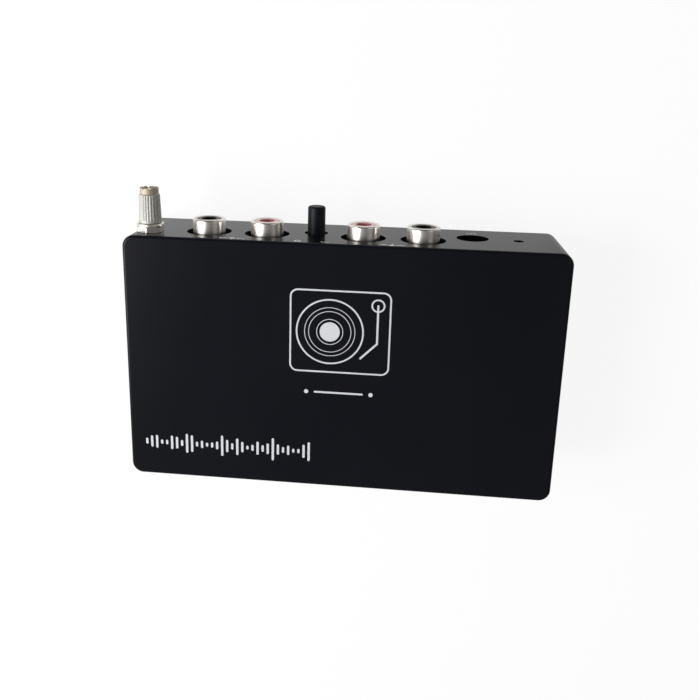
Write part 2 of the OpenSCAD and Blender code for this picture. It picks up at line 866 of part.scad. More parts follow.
// Upright can with a groove round its foot.
module can_capacitor(r, h) {
    rotate_extrude()
        polygon([
            [0, 0],
            [r, 0],
            [r, 1],
            [r - 0.35, 1.3],
            [r - 0.35, 1.6],
            [r, 1.9],
            [r, h - 0.3],
            [r - 0.3, h],
            [0, h]
        ]);
}

module electrolytic_capacitors() {
    color([0.12, 0.14, 0.3]) {
        for (x = can_x)
            translate([x, can_y, board_top])
                can_capacitor(can_r, can_h);
        for (y = big_can_y)
            translate([big_can_x, y, board_top])
                can_capacitor(big_can_r, big_can_h);
    }
}

module film_capacitors() {
    color([0.65, 0.12, 0.1])
    for (x = film_x)
        translate([x - film_size[0] / 2, film_y - film_size[1] / 2, board_top])
            cube(film_size);
}

// Axial resistors: a waisted body on two bent leads.
module resistors() {
    r = 1.15;
    half = 3.1;
    lead_r = 0.3;
    span = 4.2;
    lift = r + 0.3;
    color([0.75, 0.65, 0.45])
    for (x = resistor_x, y = resistor_y)
        translate([x, y, board_top]) {
            translate([0, 0, lift])
                rotate([0, 90, 0])
                    rotate_extrude()
                        polygon([
                            [0, -half],
                            [r - 0.3, -half],
                            [r, -half + 0.4],
                            [r, -half + 1.2],
                            [r - 0.2, -half + 1.6],
                            [r - 0.2, half - 1.6],
                            [r, half - 1.2],
                            [r, half - 0.4],
                            [r - 0.3, half],
                            [0, half]
                        ]);
            translate([-span, 0, lift])
                rotate([0, 90, 0])
                    cylinder(r = lead_r, h = 2 * span);
            for (s = [-1, 1])
                translate([s * span, 0, 0])
                    cylinder(r = lead_r, h = lift);
        }
}

// Small three-legged regulators with a flat face.
module regulators() {
    leg_w = 0.5;
    flat_x = 0.45 * regulator_r;
    color([0.1, 0.1, 0.1])
    for (y = regulator_y)
        translate([regulator_x, y, board_top]) {
            translate([0, 0, regulator_lift])
                difference() {
                    cylinder(r = regulator_r, h = regulator_h);
                    translate([flat_x, -regulator_r, -CUT])
                        cube([regulator_r, 2 * regulator_r, regulator_h + 2 * CUT]);
                }
            for (i = [-1, 0, 1])
                translate([-leg_w / 2, i * lead_pitch / 2 - leg_w / 2, 0])
                    cube([leg_w, leg_w, regulator_lift + 2 * JOIN]);
        }
}

black_insert = [0.1, 0.07, 0.07];
red_insert = [0.75, 0.12, 0.13];

placed() case_shell();
placed() base_plate();
placed() base_screws();
placed() rubber_feet();
placed() circuit_board();
placed() board_screws();
placed() jack_shell(jack_places[0]);  // input_left_shell
placed() jack_insert(jack_places[0], black_insert);  // input_left_insert
placed() jack_contact(jack_places[0]);  // input_left_contact
placed() jack_body(jack_places[0]);  // input_left_body
placed() jack_shell(jack_places[1]);  // input_right_shell
placed() jack_insert(jack_places[1], red_insert);  // input_right_insert
placed() jack_contact(jack_places[1]);  // input_right_contact
placed() jack_body(jack_places[1]);  // input_right_body
placed() jack_shell(jack_places[2]);  // output_right_shell
placed() jack_insert(jack_places[2], red_insert);  // output_right_insert
placed() jack_contact(jack_places[2]);  // output_right_contact
placed() jack_body(jack_places[2]);  // output_right_body
placed() jack_shell(jack_places[3]);  // output_left_shell
placed() jack_insert(jack_places[3], black_insert);  // output_left_insert
placed() jack_contact(jack_places[3]);  // output_left_contact
placed() jack_body(jack_places[3]);  // output_left_body
placed() button_cap();
placed() switch_plunger();
placed() return_spring();
placed() switch_body();
placed() dc_socket_body();
placed() dc_centre_pin();
placed() dc_leaf_contact();
placed() status_lamp();
placed() lamp_leads();
placed() ground_stud();
placed() ground_lug();
placed() ground_wire();
placed() ground_hex_nut();
placed() ground_washer();
placed() ground_thumb_nut();
placed() op_amps();
placed() electrolytic_capacitors();
placed() film_capacitors();
placed() resistors();
placed() regulators();
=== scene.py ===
"""Phono preamp: the finish of each piece, the turned metal parts and the printed marks,
in metres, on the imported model's frame. +Y is the way out of the connector wall."""

import json
import math

import bmesh
import bpy
import numpy as np
from mathutils import Matrix, Vector


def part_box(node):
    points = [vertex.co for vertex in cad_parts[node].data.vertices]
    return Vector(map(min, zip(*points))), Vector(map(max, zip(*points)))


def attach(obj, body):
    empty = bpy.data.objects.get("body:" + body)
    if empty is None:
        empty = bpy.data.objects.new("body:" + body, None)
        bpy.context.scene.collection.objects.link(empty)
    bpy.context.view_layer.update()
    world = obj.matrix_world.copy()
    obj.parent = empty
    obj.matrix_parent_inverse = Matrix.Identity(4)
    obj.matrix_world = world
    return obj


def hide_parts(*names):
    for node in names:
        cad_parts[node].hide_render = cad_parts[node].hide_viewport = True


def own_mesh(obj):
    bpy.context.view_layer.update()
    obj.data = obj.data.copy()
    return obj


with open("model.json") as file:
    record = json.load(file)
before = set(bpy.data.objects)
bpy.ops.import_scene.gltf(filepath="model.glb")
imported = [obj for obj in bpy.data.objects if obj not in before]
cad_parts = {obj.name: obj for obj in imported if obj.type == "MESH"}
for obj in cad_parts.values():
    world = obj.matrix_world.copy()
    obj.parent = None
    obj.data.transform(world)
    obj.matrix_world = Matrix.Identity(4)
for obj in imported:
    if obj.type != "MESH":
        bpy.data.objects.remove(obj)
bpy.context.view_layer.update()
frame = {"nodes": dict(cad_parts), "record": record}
nodes = frame["nodes"]

MM = 0.001
MICRON = 0.001 * MM
TURN = 2 * math.pi
WELD = 2e-7  # points nearer to each other than this, in metres, become one
INK_T = 0.008 * MM  # how far ink stands out of its face
INK_ROOT = 0.01 * MM  # how far its foot reaches into the face
CROWN_H = 1.6 * MM  # height of the thumb nut's plain crown
SOCKETS = ("input_left", "input_right", "output_right", "output_left")
CASE_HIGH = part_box("case_shell")[1]
TOP_Z, WALL_Y = CASE_HIGH.z, CASE_HIGH.y


def middle(node):
    """Centre of a CAD node's box."""
    low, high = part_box(node)
    return (low + high) / 2


# ---------------------------------------------------------------- surfaces


def arc(centre, radius, start, end, steps=8):
    """Points on a circle's arc, from angle start to angle end, in degrees."""
    a = np.radians(np.linspace(start, end, steps + 1))
    return np.stack([centre[0] + radius * np.cos(a), centre[1] + radius * np.sin(a)], 1)


def circle(centre, radius, steps=72):
    """Outline of a circle: an arc all the way round without its last point, which is its first."""
    return arc(centre, radius, 0, 360, steps)[:-1]


def round_rectangle(centre, half, radius, steps=6):
    """Outline of a rectangle whose corners are quarter circles."""
    x, up = half[0] - radius, half[1] - radius
    corners = [(x, up, 0), (-x, up, 90), (-x, -up, 180), (x, -up, 270)]
    quarters = [
        arc((centre[0] + dx, centre[1] + dy), radius, turn, turn + 90, steps)
        for dx, dy, turn in corners
    ]
    return np.concatenate(quarters)


def revolved(profile, axis, columns=96):
    """Each profile point (radius, y) sweeps a circle round a line along +Y through axis (x, z)."""
    r, y = np.asarray(profile, float).T
    a = np.arange(columns) / columns * TURN
    x = axis[0] + r[:, None] * np.sin(a)
    z = axis[1] + r[:, None] * np.cos(a)
    return np.stack([x, np.broadcast_to(y[:, None], x.shape), z], -1)


def block(low, high, edge, steps=3):
    """A box with rounded edges: a sphere of radius edge is cut in eight and its eighths are
    pushed apart to the box's corners, which stretches the seams into flat faces. The first and
    last rows are the middles of the bottom and the top, which close them."""
    low, high = np.asarray(low, float), np.asarray(high, float)
    quarter = np.linspace(0, 0.5 * np.pi, steps + 1)
    around = np.concatenate([quarter + k * 0.5 * np.pi for k in range(4)])
    east = np.repeat([1, -1, -1, 1], steps + 1)
    north = np.repeat([1, 1, -1, -1], steps + 1)
    rise = np.concatenate([quarter - 0.5 * np.pi, quarter])
    up = np.repeat([-1, 1], steps + 1)
    unit = np.stack(
        [
            np.cos(rise)[:, None] * np.cos(around),
            np.cos(rise)[:, None] * np.sin(around),
            np.broadcast_to(np.sin(rise)[:, None], (len(rise), len(around))),
        ],
        -1,
    )
    side = np.stack(np.broadcast_arrays(east[None], north[None], up[:, None]), -1)
    points = (low + high) / 2 + side * ((high - low) / 2 - edge) + edge * unit
    caps = np.broadcast_to(points[[0, -1]].mean(1, keepdims=True), points[:2].shape)
    return np.concatenate([caps[:1], points, caps[1:]])


def patch(points, wrap_rows=False):
    """Quads on a grid of points (rows, columns, 3) whose rows close on themselves. The UV map's
    U is the share of the way along a row, and its V the length down the columns in metres."""
    rows, columns = points.shape[:2]
    down = points[np.arange(1, rows + 1) % rows] - points
    length = np.concatenate([[0], np.cumsum(np.linalg.norm(down, axis=2).mean(1))])
    bands = rows if wrap_rows else rows - 1
    r, c = np.meshgrid(np.arange(bands), np.arange(columns), indexing="ij")
    r, c = r.ravel(), c.ravel()
    r_next, c_next = (r + 1) % rows, (c + 1) % columns
    corners = [(r, c), (r, c_next), (r_next, c_next), (r_next, c)]
    quads = np.stack([row * columns + column for row, column in corners], 1)
    u = np.stack([c, c + 1, c + 1, c], 1) / columns
    v = np.stack([length[r], length[r], length[r + 1], length[r + 1]], 1)
    return points.reshape(-1, 3), quads, np.stack([u, v], -1).reshape(-1, 2)


def closed_mesh(name, patches, crease):
    """One mesh of all the patches, with poles and seams closed and its normals outwards."""
    points, quads, uvs, start = [], [], [], 0
    for p, q, uv in patches:
        points.append(p)
        quads.append(q + start)
        uvs.append(uv)
        start += len(p)
    points, quads, uvs = np.concatenate(points), np.concatenate(quads), np.concatenate(uvs)
    mesh = bpy.data.meshes.new(name)
    mesh.vertices.add(len(points))
    mesh.vertices.foreach_set("co", points.astype(np.float32).ravel())
    mesh.loops.add(quads.size)
    mesh.loops.foreach_set("vertex_index", quads.astype(np.int32).ravel())
    mesh.polygons.add(len(quads))
    mesh.polygons.foreach_set("loop_start", np.arange(0, quads.size, 4, dtype=np.int32))
    mesh.update(calc_edges=True)
    layer = mesh.uv_layers.new(name="UVMap")
    layer.data.foreach_set("uv", uvs.astype(np.float32).ravel())
    closed = bmesh.new()
    closed.from_mesh(mesh)
    bmesh.ops.remove_doubles(closed, verts=closed.verts, dist=WELD)
    bmesh.ops.recalc_face_normals(closed, faces=closed.faces)
    closed.to_mesh(mesh)
    closed.free()
    mesh.shade_smooth()
    mesh.set_sharp_from_angle(angle=math.radians(crease))
    return mesh


def piece(name, patches, material, body="case", replaces=(), crease=35):
    """A new piece that rides on a body. It may have one of the record's material slots and stand
    for CAD nodes, which it replaces. Edges sharper than crease, in degrees, stay sharp."""
    obj = bpy.data.objects.new(name, closed_mesh(name, patches, crease))
    obj.data.materials.append(material)
    bpy.context.scene.collection.objects.link(obj)
    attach(obj, body)
    if replaces:
        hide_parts(*replaces)
    return obj


# ---------------------------------------------------------------- shader nodes


def add(tree, kind, inputs=None, **settings):
    """A node with its settings, and its inputs set or linked."""
    made = tree.nodes.new(kind)
    for key, value in settings.items():
        setattr(made, key, value)
    for key, value in (inputs or {}).items():
        if isinstance(value, bpy.types.NodeSocket):
            tree.links.new(value, made.inputs[key])
        else:
            made.inputs[key].default_value = value
    return made


def maths(tree, operation, *numbers):
    """Result of a Math node's operation on numbers or sockets."""
    return add(tree, "ShaderNodeMath", dict(enumerate(numbers)), operation=operation).outputs[0]


def mapped(tree, value, start, end, low=0.0, high=1.0):
    """A number that goes from low to high as value goes from start to end."""
    inputs = {0: value, 1: start, 2: end, 3: low, 4: high}
    return add(tree, "ShaderNodeMapRange", inputs).outputs[0]


def noise(tree, vector, scale, detail):
    """A noise's value, 0 to 1."""
    inputs = {"Vector": vector, "Scale": scale, "Detail": detail}
    return add(tree, "ShaderNodeTexNoise", inputs).outputs[0]


def group(name, inputs, outputs):
    """An empty shader node group with float or vector inputs and float outputs."""
    tree = bpy.data.node_groups.new(name, "ShaderNodeTree")
    for key, value in inputs.items():
        kind = "NodeSocketVector" if value is None else "NodeSocketFloat"
        socket = tree.interface.new_socket(name=key, in_out="INPUT", socket_type=kind)
        if value is not None:
            socket.default_value = value
    for key in outputs:
        tree.interface.new_socket(name=key, in_out="OUTPUT", socket_type="NodeSocketFloat")
    given = tree.nodes.new("NodeGroupInput").outputs
    return tree, given, tree.nodes.new("NodeGroupOutput").inputs


def grain_group():
    """Fine orange peel, two noises of which one is four times as fine as the other, and a slow
    cloud that is fifty times as wide."""
    finer, wider = 4.0, 0.02
    inputs = {"Vector": None, "Scale": 1000.0, "Soft": 0.5}
    tree, given, out = group("fine_grain", inputs, ["Height", "Cloud"])
    place, scale = given["Vector"], given["Scale"]
    coarse = noise(tree, place, scale, 2.0)
    fine = noise(tree, place, maths(tree, "MULTIPLY", scale, finer), 3.0)
    both = add(tree, "ShaderNodeMix", {"Factor": given["Soft"], "A": fine, "B": coarse})
    cloud = noise(tree, place, maths(tree, "MULTIPLY", scale, wider), 4.0)
    tree.links.new(both.outputs[0], out["Height"])
    tree.links.new(cloud, out["Cloud"])
    return tree


def scuff_group():
    """Light marks of handling: noise stretched into short hairlines, kept where a cloud ten
    times as wide is high."""
    slant, stretch, wider = (0.3, 0.2, 0.6), (1.0, 0.06, 0.3), 0.1
    inputs = {"Vector": None, "Scale": 300.0, "Amount": 0.3}
    tree, given, out = group("light_scuffs", inputs, ["Mask"])
    place, scale = given["Vector"], given["Scale"]
    turned = {"Vector": place, "Rotation": slant, "Scale": stretch}
    stretched = add(tree, "ShaderNodeMapping", turned).outputs[0]
    hair = mapped(tree, noise(tree, stretched, scale, 5.0), 0.62, 0.72)
    wide = noise(tree, place, maths(tree, "MULTIPLY", scale, wider), 3.0)
    kept = maths(tree, "MULTIPLY", hair, mapped(tree, wide, 0.45, 0.75))
    tree.links.new(maths(tree, "MULTIPLY", kept, given["Amount"]), out["Mask"])
    return tree


def lathe_group():
    """Tool marks of turning: a one-dimensional noise along the profile's length, in lines a metre."""
    tree, given, out = group("lathe_lines", {"Length": 0.0, "Lines": 9000.0}, ["Height"])
    along = maths(tree, "MULTIPLY", given["Length"], given["Lines"])
    inputs = {"W": along, "Scale": 1.0, "Detail": 2.0}
    lines = add(tree, "ShaderNodeTexNoise", inputs, noise_dimensions="1D")
    tree.links.new(lines.outputs[0], out["Height"])
    return tree


GRAIN, SCUFFS, LATHE = grain_group(), scuff_group(), lathe_group()


# ---------------------------------------------------------------- materials


def finish(name, colour, rough, metal=0.0, spec=0.5):
    """A material with its Principled shader, and the coordinates that its patterns read: the
    object's own in metres, and the piece's UV map."""
    made = bpy.data.materials.new(name)
    made.use_nodes = True
    tree = made.node_tree
    shader = next(n for n in tree.nodes if n.type == "BSDF_PRINCIPLED")
    shader.inputs["Base Color"].default_value = (*colour, 1)
    shader.inputs["Roughness"].default_value = rough
    shader.inputs["Metallic"].default_value = metal
    shader.inputs["Specular IOR Level"].default_value = spec
    return made, tree, shader, add(tree, "ShaderNodeTexCoord").outputs


def placed_group(tree, kind, **inputs):
    """Outputs of one of the shared groups in a material, its inputs set or linked."""
    return add(tree, "ShaderNodeGroup", inputs, node_tree=kind).outputs


def bumped(tree, shader, height, depth, under=None):
    """Height in 0 to 1 becomes relief of that depth in metres, on the relief under it."""
    inputs = {"Height": height, "Strength": 1.0, "Distance": depth}
    if under:
        inputs["Normal"] = under
    bump = add(tree, "ShaderNodeBump", inputs).outputs[0]
    tree.links.new(bump, shader.inputs["Normal"])
    return bump


def roughened(tree, shader, mask, low, high):
    """The roughness goes from low to high with the mask."""
    tree.links.new(mapped(tree, mask, 0.0, 1.0, low, high), shader.inputs["Roughness"])


def tinted(tree, shader, mask, first, second, low=0.0, high=1.0):
    """The colour goes from the first to the second as the mask goes from low to high."""
    ramp = add(tree, "ShaderNodeValToRGB", {0: mask})
    stops = ramp.color_ramp.elements
    stops[0].position, stops[0].color = low, (*first, 1)
    stops[1].position, stops[1].color = high, (*second, 1)
    tree.links.new(ramp.outputs[0], shader.inputs["Base Color"])


def powder_paint(name, dark, light, rough, scale, depth, spec):
    """Satin paint with a fine peel, a slow drift of tone and a few faint scuffs."""
    made, tree, shader, where = finish(name, dark, rough, spec=spec)
    grain = placed_group(tree, GRAIN, Vector=where["Object"], Scale=scale, Soft=0.45)
    scuffs = placed_group(tree, SCUFFS, Vector=where["Object"], Scale=420.0, Amount=0.35)
    tinted(tree, shader, grain["Cloud"], dark, light, low=0.3, high=0.75)
    roughened(tree, shader, scuffs["Mask"], rough, rough + 0.16)
    bumped(tree, shader, grain["Height"], depth)
    return made


def moulded(name, dark, light, rough, scale=1600.0, depth=6 * MICRON, coat=0.0, spec=0.5):
    """Moulded plastic or rubber: a faint spark-eroded grain and a slow drift of tone."""
    made, tree, shader, where = finish(name, dark, rough, spec=spec)
    grain = placed_group(tree, GRAIN, Vector=where["Object"], Scale=scale, Soft=0.6)
    tinted(tree, shader, grain["Cloud"], dark, light, low=0.3, high=0.7)
    roughened(tree, shader, grain["Cloud"], rough - 0.05, rough + 0.08)
    bumped(tree, shader, grain["Height"], depth)
    shader.inputs["Coat Weight"].default_value = coat
    return made


def bare_metal(name, bright, dull, rough):
    """Stamped, drawn or tinned metal: a patchy tone and a fine dry grain."""
    made, tree, shader, where = finish(name, bright, rough, metal=1.0)
    grain = placed_group(tree, GRAIN, Vector=where["Object"], Scale=1800.0, Soft=0.5)
    tinted(tree, shader, grain["Cloud"], dull, bright, low=0.3, high=0.65)
    roughened(tree, shader, grain["Cloud"], rough + 0.1, rough - 0.03)
    bumped(tree, shader, grain["Height"], 2 * MICRON)
    return made


def turned_nickel():
    """Turned and plated metal: lathe lines along the profile under a patchy, slightly dulled
    plating."""
    bright, dull, rough = (0.8, 0.76, 0.7), (0.64, 0.6, 0.55), 0.29
    made, tree, shader, where = finish("nickel_plating", bright, rough, metal=1.0)
    length = add(tree, "ShaderNodeSeparateXYZ", {0: where["UV"]}).outputs["Y"]
    lines = placed_group(tree, LATHE, Length=length, Lines=9000.0)
    grain = placed_group(tree, GRAIN, Vector=where["Object"], Scale=2200.0, Soft=0.7)
    tinted(tree, shader, grain["Cloud"], dull, bright, low=0.3, high=0.62)
    roughened(tree, shader, grain["Cloud"], rough + 0.12, rough - 0.04)
    below = bumped(tree, shader, grain["Height"], 1.5 * MICRON)
    bumped(tree, shader, lines["Height"], 2.5 * MICRON, below)
    return made


def knurled_nickel():
    """Matt nickel on the thumb nut, with a painted warm reflection that makes its crown browner."""
    # the second colour is a painted warm reflection, laid on the crown
    nickel, crown_reflection_tint = (0.5, 0.49, 0.45), (0.53, 0.45, 0.34)
    made, tree, shader, where = finish("knurled_nickel", nickel, 0.56, metal=0.6)
    grain = placed_group(tree, GRAIN, Vector=where["Object"], Scale=1800.0, Soft=0.8)
    place = add(tree, "ShaderNodeSeparateXYZ", {0: where["Object"]}).outputs
    crown_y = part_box("ground_thumb_nut")[1].y - CROWN_H
    # painted reflection: this mask turns the colour towards the warm brown over the crown
    crown = mapped(tree, place["Y"], crown_y - 0.3 * MM, crown_y + 0.2 * MM)
    tone = mapped(tree, grain["Cloud"], 0.32, 0.68, 0.8, 1.02)
    both = add(tree, "ShaderNodeMix", {"Factor": crown}, data_type="RGBA")
    for socket, colour in (("A", nickel), ("B", crown_reflection_tint)):
        toned = add(tree, "ShaderNodeVectorMath", {0: colour, "Scale": tone}, operation="SCALE")
        tree.links.new(toned.outputs[0], both.inputs[socket])
    tree.links.new(both.outputs["Result"], shader.inputs["Base Color"])
    roughened(tree, shader, grain["Cloud"], 0.68, 0.54)
    bumped(tree, shader, grain["Height"], 1.5 * MICRON)
    return made


def board_mask():
    """Solder resist over copper. The tracks are square rings round scattered points: the outer
    half of each step of the distance to the nearest point, taken along the axis where it is
    longest, is raised and lighter."""
    steps, dark, light = 6.0, (0.01, 0.075, 0.03), (0.022, 0.14, 0.055)
    made, tree, shader, where = finish("solder_resist", (0.012, 0.09, 0.035), 0.32)
    cells = add(
        tree,
        "ShaderNodeTexVoronoi",
        {"Vector": where["Object"], "Scale": 210.0},
        feature="F1",
        distance="CHEBYCHEV",
    )
    wave = maths(tree, "FRACT", maths(tree, "MULTIPLY", cells.outputs["Distance"], steps))
    edge = mapped(tree, wave, 0.42, 0.5)
    tinted(tree, shader, edge, dark, light)
    bumped(tree, shader, edge, 20 * MICRON)
    return made


def clear_resin():
    """Water-clear moulded resin with slow ripples."""
    made, tree, shader, where = finish("clear_resin", (0.9, 0.93, 0.95), 0.06)
    shader.inputs["Transmission Weight"].default_value = 1.0
    shader.inputs["IOR"].default_value = 1.5
    grain = placed_group(tree, GRAIN, Vector=where["Object"], Scale=500.0, Soft=1.0)
    bumped(tree, shader, grain["Height"], 4 * MICRON)
    return made


def ink(name, thin, full):
    """Screen-printed ink: matt, thinner in small specks."""
    made, tree, shader, where = finish(name, full, 0.5)
    grain = placed_group(tree, GRAIN, Vector=where["Object"], Scale=2600.0, Soft=0.4)
    tinted(tree, shader, grain["Height"], thin, full, low=0.28, high=0.45)
    bumped(tree, shader, grain["Height"], 4 * MICRON)
    return made


NICKEL, KNURLED = turned_nickel(), knurled_nickel()
TOP_INK = ink("top_ink", (0.46, 0.47, 0.49), (0.6, 0.61, 0.63))
# painted light: the wall's ink is painted lighter than the top's, to make up for the little light
# that falls on the connector wall
WALL_INK_PAINTED_BRIGHT = ink("wall_ink_painted_bright", (0.78, 0.79, 0.8), (0.88, 0.88, 0.9))
FINISHES = {
    "case_black": powder_paint(
        "case_paint",
        (0.0052, 0.0056, 0.008),
        (0.0068, 0.0072, 0.0098),
        rough=0.24,
        scale=1500.0,
        depth=7 * MICRON,
        spec=0.08,
    ),
    "plate_black": powder_paint(
        "plate_paint",
        (0.006, 0.006, 0.007),
        (0.009, 0.009, 0.01),
        rough=0.42,
        scale=1200.0,
        depth=12 * MICRON,
        spec=0.2,
    ),
    "screw_black": bare_metal("black_oxide", (0.06, 0.06, 0.065), (0.03, 0.03, 0.034), 0.4),
    "rubber": moulded(
        "black_rubber",
        (0.01, 0.01, 0.01),
        (0.02, 0.02, 0.02),
        rough=0.75,
        scale=1100.0,
        depth=20 * MICRON,
        spec=0.3,
    ),
    "board_green": board_mask(),
    "steel": bare_metal("zinc_plate", (0.62, 0.62, 0.6), (0.45, 0.45, 0.45), 0.3),
    "nickel": bare_metal("nickel_plain", (0.78, 0.76, 0.71), (0.6, 0.58, 0.54), 0.18),
    "tin": bare_metal("tinned_metal", (0.7, 0.69, 0.66), (0.5, 0.49, 0.47), 0.34),
    "insert_black": moulded(
        "black_insulator", (0.007, 0.005, 0.004), (0.012, 0.008, 0.007), rough=0.3, spec=0.12
    ),
    "insert_red": moulded(
        "red_insulator", (0.6, 0.19, 0.2), (0.68, 0.24, 0.25), rough=0.28, coat=0.6
    ),
    "plastic_black": moulded("black_housing", (0.008, 0.008, 0.008), (0.014, 0.014, 0.014), 0.5),
    "button_black": moulded(
        "button_plastic",
        (0.0022, 0.0034, 0.0064),
        (0.0038, 0.0052, 0.009),
        rough=0.45,
        depth=4 * MICRON,
        spec=0.15,
    ),
    "bar_white": moulded("white_bar", (0.7, 0.69, 0.64), (0.78, 0.77, 0.73), 0.45),
    "spring_steel": bare_metal("spring_wire", (0.58, 0.58, 0.6), (0.42, 0.42, 0.44), 0.25),
    "leaf_brass": bare_metal("leaf_brass", (0.75, 0.58, 0.3), (0.58, 0.43, 0.2), 0.3),
    "lamp_clear": clear_resin(),
    "wire_green": moulded("wire_sleeve", (0.02, 0.22, 0.05), (0.03, 0.28, 0.07), 0.4),
    "chip_black": moulded(
        "chip_resin",
        (0.012, 0.012, 0.013),
        (0.02, 0.02, 0.02),
        rough=0.55,
        scale=2400.0,
        depth=10 * MICRON,
    ),
    "can_blue": moulded("can_sleeve", (0.02, 0.03, 0.1), (0.03, 0.04, 0.14), 0.28, coat=0.3),
    "film_red": moulded("film_case", (0.36, 0.045, 0.035), (0.45, 0.06, 0.045), 0.35),
    "resistor_tan": moulded(
        "resistor_lacquer", (0.5, 0.37, 0.19), (0.58, 0.44, 0.24), rough=0.38, coat=0.2
    ),
}
for part in frame["record"]["subparts"]:
    mesh = nodes[part["node"]].data
    mesh.materials.clear()
    mesh.materials.append(FINISHES[part["material_slot"]])

# ---------------------------------------------------------------- phono sockets

BARREL_R, MOUTH_R, FLANGE_R, FLANGE_T = 4.15 * MM, 3.1 * MM, 4.7 * MM, 0.6 * MM
LIP_R = (BARREL_R - MOUTH_R) / 2
ROOT_R, FLANGE_EDGE = 0.15 * MM, 0.1 * MM
TAB_HALF, TAB_EDGE = 1.5 * MM, 0.12 * MM
TAB_DROP = 3.6 * MM  # how far below the axis the solder tab starts


def barrel_profile(back, tip):
    """Closed wall section (radius, y): bore, full-round lip, barrel, root curve and flange."""
    flange = back + FLANGE_T
    rim = FLANGE_R - FLANGE_EDGE
    return np.concatenate(
        [
            [(MOUTH_R, back), (MOUTH_R, back + 0.5 * (tip - back))],
            arc((MOUTH_R + LIP_R, tip - LIP_R), LIP_R, 180, 0, 16),
            [(BARREL_R, flange + 0.5 * (tip - flange))],
            arc((BARREL_R + ROOT_R, flange + ROOT_R), ROOT_R, 180, 270, 4),
            arc((rim, flange - FLANGE_EDGE), FLANGE_EDGE, 90, 0, 4),
            arc((rim, back + FLANGE_EDGE), FLANGE_EDGE, 0, -90, 4),
        ]
    )


def solder_tab(low, centre):
    """The flange's flat tail, whose foot goes down through the board."""
    foot = (centre[0] - TAB_HALF, low.y, low.z)
    head = (centre[0] + TAB_HALF, low.y + FLANGE_T, centre[1] - TAB_DROP)
    return block(foot, head, TAB_EDGE)


for socket in SOCKETS:
    low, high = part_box(socket + "_shell")
    centre = middle(socket + "_insert").x, middle(socket + "_insert").z
    barrel = revolved(barrel_profile(low.y, high.y), centre)
    piece(
        socket + "_barrel",
        [patch(barrel, wrap_rows=True), patch(solder_tab(low, centre))],
        NICKEL,
        replaces=[socket + "_shell"],
    )

# ---------------------------------------------------------------- ground terminal

POST = middle("ground_thumb_nut").x, middle("ground_thumb_nut").z


def stud_surface(rows=260, columns=40):
    """Head, then a thread: the radius falls by a triangle wave of (length / pitch - turn), which
    climbs one pitch a turn and fades out at both ends of the shank."""
    low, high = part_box("ground_stud")
    head_r, shank_r, pitch, depth = (high.x - low.x) / 2, 1.5 * MM, 0.5 * MM, 0.14 * MM
    bevel, chamfer = 0.4 * MM, 0.3 * MM
    neck, shank_end = low.y + 1 * MM, high.y - chamfer
    head = [
        (0, low.y),
        (head_r - bevel, low.y),
        (head_r, low.y + bevel),
        (head_r, neck),
        (shank_r, neck),
    ]
    y = np.linspace(neck, shank_end, rows)[1:]
    tip = [(shank_r - chamfer, high.y), (0, high.y)]
    profile = np.concatenate([head, np.stack([np.full_like(y, shank_r), y], 1), tip])
    points = revolved(profile, POST, columns)
    turn = np.arange(columns) / columns
    wave = np.abs(2 * ((y[:, None] / pitch - turn) % 1) - 1)
    fade = np.clip((y - neck) / pitch, 0, 1) * np.clip((shank_end - y) / pitch, 0, 1)
    share = 1 - depth / shank_r * wave * fade[:, None]
    shank = points[len(head) : len(head) + len(y)]
    shank[..., 0] = POST[0] + (shank[..., 0] - POST[0]) * share
    shank[..., 2] = POST[1] + (shank[..., 2] - POST[1]) * share
    return points


def hex_nut_surface(columns=192):
    """A ring whose outer radius is the hexagon's, half the flats' width over the cosine of the
    angle to the nearest flat; a 30 degree cone cuts both faces, which curves its edges."""
    low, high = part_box("ground_hex_nut")
    flat = (high.x - low.x) / 2
    corner, cone = flat * 1.12, flat * 0.97  # where the corners end, and where the cone starts
    bore, bevel = 1.56 * MM, 0.2 * MM
    back_cut = 0.4  # share of the cone on the face that lies against the wall
    a = np.arange(columns) / columns * TURN
    off = (a + math.pi / 2 + math.pi / 6) % (math.pi / 3) - math.pi / 6
    edge = np.minimum(flat / np.cos(off), corner)
    drop = (edge - cone) * math.tan(math.radians(30))
    rows = [
        (bore, low.y),
        (bore, high.y - bevel),
        (bore + bevel, high.y),
        (cone, high.y),
        (edge, high.y - drop),
        (edge, low.y + drop * back_cut),
        (cone, low.y),
    ]
    x, up = np.sin(a), np.cos(a)
    rings = [np.broadcast_arrays(POST[0] + r * x, y, POST[1] + r * up) for r, y in rows]
    return np.stack([np.stack(points, -1) for points in rings])


def washer_profile():
    """Closed section of a stamped ring: its upper edges are rolled over, its lower ones sharp."""
    low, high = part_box("ground_washer")
    outer, bore, roll, nick = (high.x - low.x) / 2, 1.6 * MM, 0.18 * MM, 0.04 * MM
    return np.concatenate(
        [
            [(bore, low.y)],
            arc((bore + roll, high.y - roll), roll, 180, 90, 5),
            arc((outer - roll, high.y - roll), roll, 90, 0, 5),
            [(outer, low.y + nick), (outer - nick, low.y)],
        ]
    )


